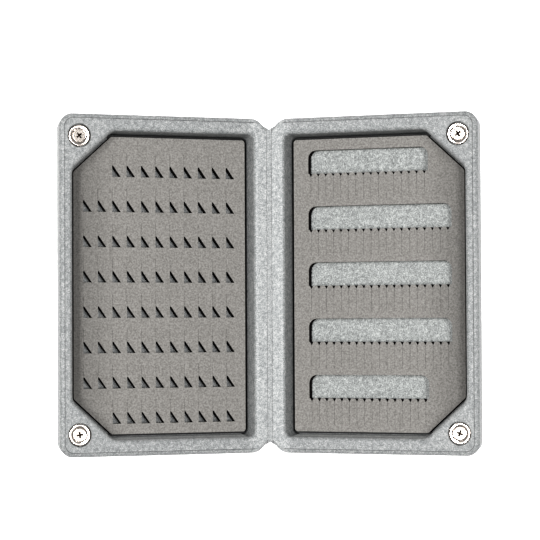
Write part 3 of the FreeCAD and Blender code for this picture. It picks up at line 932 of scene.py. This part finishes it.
def add_cross(mesh):
    """Closes the head's top round a cross recess that narrows as it goes down."""
    rim = [edge for edge in mesh.edges if edge.is_boundary]
    top = cross_loop(mesh, 0.0, 1.0)
    foot = cross_loop(mesh, CROSS_DEPTH_MM, CROSS_FOOT_SHARE)
    bmesh.ops.triangle_fill(mesh, use_beauty=True, use_dissolve=False, edges=rim + top)
    walls = bmesh.ops.bridge_loops(mesh, edges=top + foot)["faces"]
    bottom = bmesh.ops.edgeloop_fill(mesh, edges=foot)["faces"]
    for face in walls + bottom:
        face.material_index = RECESS
    bmesh.ops.recalc_face_normals(mesh, faces=mesh.faces)


for (side, end), turn in SCREW_TURN.items():
    corner_name = SIDE_NAME[side] + "_" + END_NAME[end]
    mesh = turned(screw_profile(), closed=False)
    add_cross(mesh)
    set_in_corner(mesh, side, end, turn)
    screw = new_piece("cross_screw_" + corner_name, mesh)
    smooth(screw, sharp_angle=20)
    dress(screw, side, "screw_steel", SCREW_PLATE, RECESS_SHADE_PLATE)
    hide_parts("screw_" + corner_name)
    NODES["anchor_" + corner_name].data.materials.clear()
    NODES["anchor_" + corner_name].data.materials.append(NYLON)
loose_edges = sum(1 for edge in screw.data.edges if edge.is_loose)
print("screw faces:", len(screw.data.polygons), "loose edges:", loose_edges)

# %% [markdown]
# The floor is a plain white light table: it glows a little, which takes the box's shadow away. It
# lies a little below the box, so that the right tray can swing down in line with the left one.

# %% The table and the room
GROUND_SIZE = 4.0
TABLE_DROP = 0.04
TABLE_WHITE = 0xFAFAFA
TABLE_GLOW = 0.5
ROOM_GLOW = 0.2
WHITE = (1, 1, 1, 1)

ground_mesh = bmesh.new()
bmesh.ops.create_grid(ground_mesh, x_segments=1, y_segments=1, size=GROUND_SIZE / 2)
bmesh.ops.translate(ground_mesh, vec=(0, 0, -TABLE_DROP), verts=ground_mesh.verts)
ground = new_piece("ground", ground_mesh)
acrylic, _, shader, _ = new_material("white_acrylic_table")
shader.inputs["Base Color"].default_value = linear(TABLE_WHITE)
shader.inputs["Roughness"].default_value = 0.9
shader.inputs["Emission Color"].default_value = WHITE
shader.inputs["Emission Strength"].default_value = TABLE_GLOW
ground.data.materials.append(acrylic)

world = bpy.data.worlds.new("white_room")
bpy.context.scene.world = world
world.use_nodes = True
room = world.node_tree.nodes["Background"]
room.inputs["Color"].default_value = WHITE
room.inputs["Strength"].default_value = ROOM_GLOW
print("table:", GROUND_SIZE, "m wide,", TABLE_DROP, "m below the box")

# %% [markdown]
# Two softboxes lean over the box from both sides and leave the cuts in the foam dark. Four smaller
# cards, two on each side, are what the magnets mirror. The ones in front are the brighter ones.

# %% Lamps
LAMP_DISTANCE = 1.3
SOFTBOXES = {
    LEFT: {"lean": math.radians(24), "size": (0.8, 0.24), "power": 13.2},
    RIGHT: {"lean": math.radians(20), "size": (0.8, 0.34), "power": 11.0},
}
CARD_LEAN = math.radians(36)
CARD_SIZE = (0.5, 0.38)
CARDS = {"front": {"y": -0.17, "power": 0.55}, "rear": {"y": 0.22, "power": 0.13}}


def lean_over(name, side, lean, size, power, y=0.0):
    """A lamp that leans to a side and looks at the box. The size runs along the hinge first."""
    lamp = bpy.data.lights.new(name, "AREA")
    lamp.shape = "RECTANGLE"
    lamp.size, lamp.size_y = size
    lamp.energy = power
    holder = bpy.data.objects.new(name, lamp)
    bpy.context.scene.collection.objects.link(holder)
    across, up = LAMP_DISTANCE * math.sin(lean), LAMP_DISTANCE * math.cos(lean)
    place = Vector((side * across, y, up))
    holder.location = place
    holder.rotation_euler = (-place).to_track_quat("-Z", "Y").to_euler()


for side, box in SOFTBOXES.items():
    name = SIDE_NAME[side]
    lean_over(name + "_softbox", side, **box)
    for end, card in CARDS.items():
        lean_over(name + "_" + end + "_card", side, CARD_LEAN, CARD_SIZE, **card)
print("lamps:", len(bpy.data.lights))

# %% [markdown]
# The photograph looks straight down from about a metre. Its lens and place were worked out from the
# magnets, the rows of holes and the tilt of the trays, so the camera stands a little right of the
# hinge and a little in front of the middle.

# %% Camera
FRAME_PX = 540
FOCAL_PX = 2089.7
SENSOR_MM = 36.0
CAMERA_FROM_HINGE = Vector((8.18, -19.6, 1000.0)) * MM
TURN_X, TURN_Y, TURN_Z = (math.radians(a) for a in (-1.543, -0.463, 0.261))

lens = bpy.data.cameras.new("camera")
lens.sensor_width = SENSOR_MM
lens.lens = FOCAL_PX / FRAME_PX * SENSOR_MM
camera = bpy.data.objects.new("camera", lens)
bpy.context.scene.collection.objects.link(camera)
look = (
    Matrix.Rotation(TURN_X, 3, "X")
    @ Matrix.Rotation(TURN_Y, 3, "Y")
    @ Matrix.Rotation(TURN_Z, 3, "Z")
)
camera.matrix_world = (
    Matrix.Translation(AXIS + CAMERA_FROM_HINGE) @ look.transposed().to_4x4()
)
bpy.context.scene.camera = camera
bpy.context.scene.view_settings.view_transform = "Standard"
bpy.context.scene.view_settings.look = "High Contrast"
print("lens:", round(lens.lens, 1), "mm")
